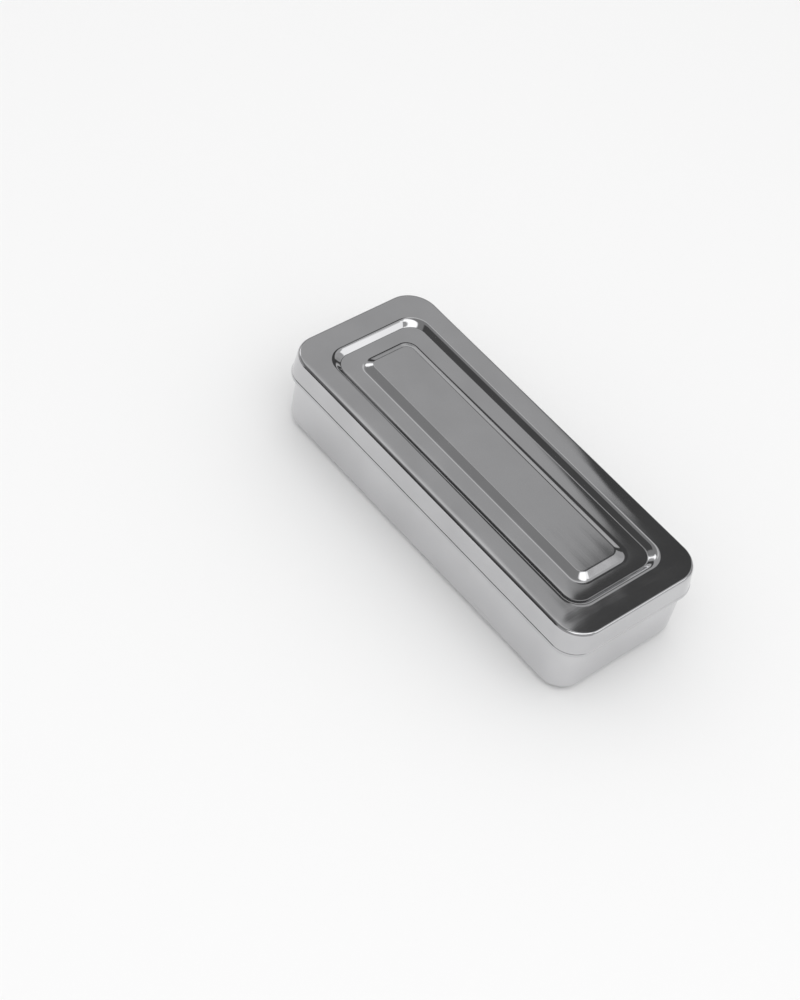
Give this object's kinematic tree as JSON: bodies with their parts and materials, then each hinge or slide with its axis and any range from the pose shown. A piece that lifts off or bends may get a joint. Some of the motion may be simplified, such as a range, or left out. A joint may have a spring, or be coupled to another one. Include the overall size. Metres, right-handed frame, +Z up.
{
  "type": "instrument tray",
  "caption": "Long covered stainless-steel instrument tray: a drawn box with round corners and a lift-off lid with a pressed panel.",
  "frame": {"origin": "centre of the footprint, on the surface the box stands on", "axes": "+X along the length, +Y across the width, +Z up, the way the lid lifts"},
  "size_m": [0.2, 0.079, 0.0432],
  "materials": {
    "satin_steel": "satin",
    "polished_steel": "polished"
  },
  "bodies": {
    "box": {"box_body": "satin_steel"},
    "lid": {"lid": "polished_steel"}
  },
  "joints": [
    {"name": "lid_lift", "type": "slide", "parent": "box", "child": "lid", "axis": [0, 0, 1], "range_m": [0, 0.08]}
  ]
}
